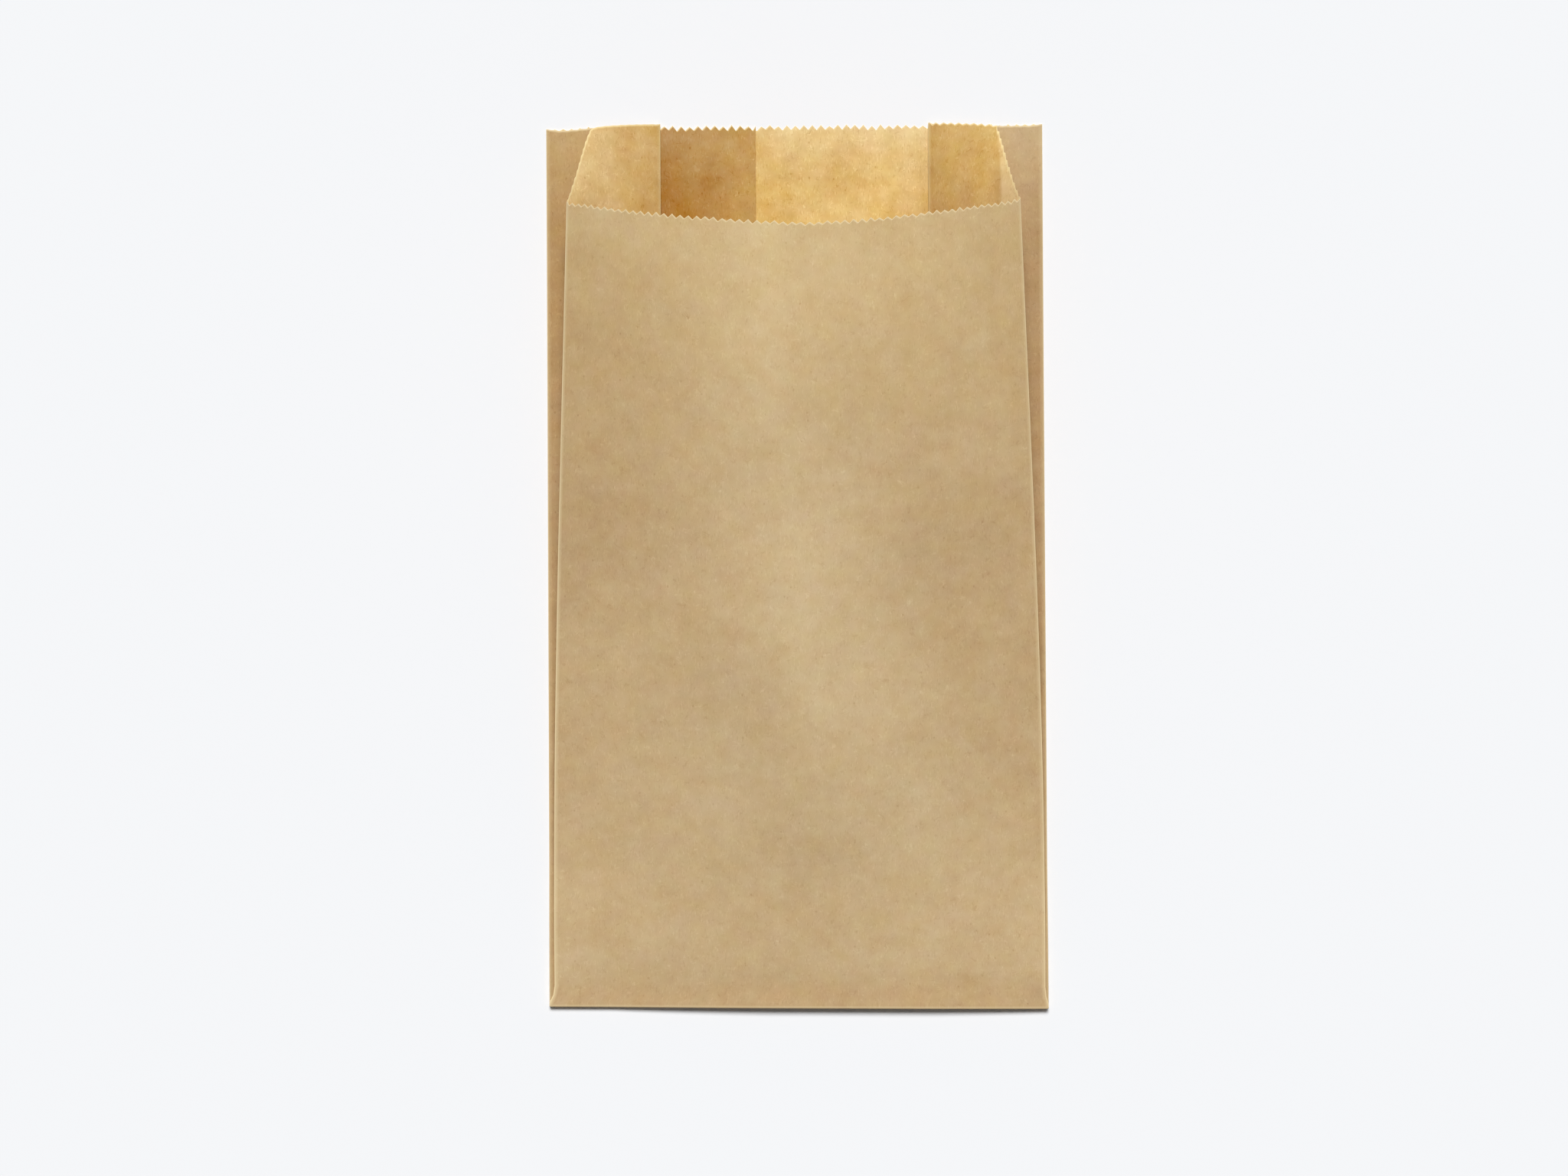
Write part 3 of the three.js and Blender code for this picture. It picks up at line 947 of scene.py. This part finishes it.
# %% [markdown]
# ## The two faces and the cut edge
#
# The outside is a dull tan. Folds and cut edges are paler, partly because the fibres there are broken and
# partly as a painted highlight. Inside, painted light makes the back's single layer glow yellow, and it is
# a browner painted shade where the lap makes it double. The colours are written as they are seen, in sRGB,
# and turned into the linear values that Blender uses.

# %% Tones of the paper
# The strip along the back's teeth is painted light.
STRIP_SHARE = 0.95  # how pale the strip along the back's teeth is


def tone(code):
    parts = [int(code[i : i + 2], 16) / 255 for i in (0, 2, 4)]
    return (*[c / 12.92 if c <= 0.04045 else ((c + 0.055) / 1.055) ** 2.4 for c in parts], 1.0)


def attribute(tree, name):
    return put(tree, "Attribute", attribute_name=name).outputs["Fac"]


def inside_painted_light(tree, base, glowing, pale):
    """The inside's tone with its painted light: glowing where little lies behind it, and pale beside the
    cuts.
    """
    glowed = mix(tree, attribute(tree, "glow"), tone(base), tone(glowing))
    strip = calc(tree, "MULTIPLY", attribute(tree, "near_edge"), STRIP_SHARE)
    paler = calc(tree, "MAXIMUM", attribute(tree, "band"), strip)
    return mix(tree, paler, glowed, tone(pale))


print("tan of the outside, linear:", [round(part, 3) for part in tone("ccb085")[:3]])

# %% [markdown]
# Three materials follow from one function. Each has its own tone, its own share of the fibres, and the
# marks on the sheet that it reads. Uncoated paper is nearly matt, so there is little gloss, and the
# fibres stand up only a hair's breadth.

# %% Materials of the paper
ROUGHNESS = 0.75
GLOSS = 0.15
BUMP = 0.2
FIBRE_HEIGHT = 0.0002
# The cut edge is pale, partly wear and partly painted highlight.
EDGE_WEAR_AND_HIGHLIGHT = (0.66, 0.92)  # from the row before the cut, 0, to the cut, 1


def paper_material(name, colours, fibres, painted_light_and_shade=None, warm=False):
    material = bpy.data.materials.new(name)
    material.use_nodes = True
    tree = material.node_tree
    shader = tree.nodes["Principled BSDF"]
    inputs = {"Strength": fibres["strength"], "Clouds": fibres["clouds"], "Tone": tone(colours["base"])}
    if "glow" in colours:
        inputs["Tone"] = inside_painted_light(tree, colours["base"], colours["glow"], colours["pale"])
    # The painted light and shade marked on the sheet, if this face reads it.
    if painted_light_and_shade:
        inputs["PaintedLightAndShade"] = attribute(tree, painted_light_and_shade)
    if warm:
        inputs["Warmth"] = attribute(tree, "warmth")
    group = put(tree, "Group", inputs, node_tree=kraft_fibres)
    low, high = EDGE_WEAR_AND_HIGHLIGHT
    edge = put(tree, "MapRange", {0: attribute(tree, "cut_edge"), 1: low, 2: high})
    # Folds and cut edges: partly wear, partly painted highlight.
    wear_and_highlight = calc(tree, "MAXIMUM", attribute(tree, "fold"), edge.outputs[0])
    shown = mix(tree, wear_and_highlight, group.outputs["Color"], tone(colours["wear_and_highlight_tone"]))
    bump = put(tree, "Bump", {"Strength": BUMP, "Distance": FIBRE_HEIGHT, "Height": group.outputs["Height"]})
    tree.links.new(shown, shader.inputs["Base Color"])
    tree.links.new(bump.outputs[0], shader.inputs["Normal"])
    shader.inputs["Roughness"].default_value = ROUGHNESS
    shader.inputs["Specular IOR Level"].default_value = GLOSS
    paper.materials.append(material)


outside = {"base": "ccb085", "wear_and_highlight_tone": "eed8aa"}
# The inside's brown base is painted shade, the paper with little light through it; its glow and pale tones
# are painted light.
inside = {"base": "a97b3e", "wear_and_highlight_tone": "f3dca2", "glow": "ddb872", "pale": "eccf98"}
fresh_cut = {"base": "e6ca94", "wear_and_highlight_tone": "ead0a0"}
paper_material("kraft_outside", outside, {"strength": 1.0, "clouds": 1.0}, painted_light_and_shade="painted_light_and_shade", warm=True)
paper_material("kraft_inside", inside, {"strength": 1.5, "clouds": 1.65}, painted_light_and_shade="inner_painted_light_and_shade")
paper_material("kraft_cut_edge", fresh_cut, {"strength": 0.6, "clouds": 1.0})
print("materials:", [material.name for material in paper.materials])

# %% [markdown]
# ## The floor
#
# The bag lies on a plain near-white surface with no gloss, which shows nothing but the bag's soft shadow.
# It is wide enough to fill the view from low angles too.

# %% Floor
FLOOR_SIZE = 40.0
FLOOR_TONE = (0.917, 0.928, 0.947, 1.0)
FLOOR_ROUGHNESS = 0.9

ground = bmesh.new()
bmesh.ops.create_grid(ground, x_segments=1, y_segments=1, size=FLOOR_SIZE / 2)
floor_mesh = bpy.data.meshes.new("floor")
ground.to_mesh(floor_mesh)
ground.free()
floor = bpy.data.objects.new("floor", floor_mesh)
bpy.context.collection.objects.link(floor)
white = bpy.data.materials.new("white_surface")
white.use_nodes = True
surface = white.node_tree.nodes["Principled BSDF"].inputs
surface["Base Color"].default_value = FLOOR_TONE
surface["Roughness"].default_value = FLOOR_ROUGHNESS
surface["Specular IOR Level"].default_value = 0.0
floor_mesh.materials.append(white)
print("floor, m:", FLOOR_SIZE)

# %% [markdown]
# ## The light
#
# Most of the light comes from one wide, soft lamp that leans towards the mouth, so that the bottom fold
# has a thin shadow in front of it and the inside of the mouth is lit. A faint even sky fills the shadows.
# Where the camera or a reflection looks past the floor, it sees the floor's own tone, so no horizon
# shows. The Standard view shows a tone about as it is written.

# %% Sky
SKY = 0.10

world = bpy.data.worlds.new("soft_sky")
world.use_nodes = True
sky_tree = world.node_tree
sky = sky_tree.nodes["Background"]
sky.inputs["Color"].default_value = (1.0, 1.0, 1.0, 1.0)
sky.inputs["Strength"].default_value = SKY
seen = put(sky_tree, "Background", {"Color": FLOOR_TONE, "Strength": 1.0})
rays = put(sky_tree, "LightPath").outputs
looked_at = calc(
    sky_tree, "MAXIMUM", rays["Is Camera Ray"], rays["Is Glossy Ray"], rays["Is Transmission Ray"]
)
both = put(sky_tree, "MixShader", {0: looked_at, 1: sky.outputs[0], 2: seen.outputs[0]})
sky_tree.links.new(both.outputs[0], sky_tree.nodes["World Output"].inputs["Surface"])
bpy.context.scene.world = world
print("sky:", SKY)

# %% Lamp
LAMP_STRENGTH = 3.26
LAMP_SPREAD = radians(22)
LAMP_LEAN = radians(-30)  # from straight above towards the mouth

lamp_data = bpy.data.lights.new("soft_lamp", "SUN")
lamp_data.angle = LAMP_SPREAD
lamp_data.energy = LAMP_STRENGTH
lamp = bpy.data.objects.new("soft_lamp", lamp_data)
lamp.rotation_euler = (LAMP_LEAN, 0.0, 0.0)
bpy.context.collection.objects.link(lamp)
bpy.context.scene.view_settings.view_transform = "Standard"
print("lamp:", LAMP_STRENGTH)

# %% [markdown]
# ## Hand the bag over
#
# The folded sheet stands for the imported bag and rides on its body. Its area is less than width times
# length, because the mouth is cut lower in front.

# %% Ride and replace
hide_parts("folded_paper_bag")
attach(bag, "root")
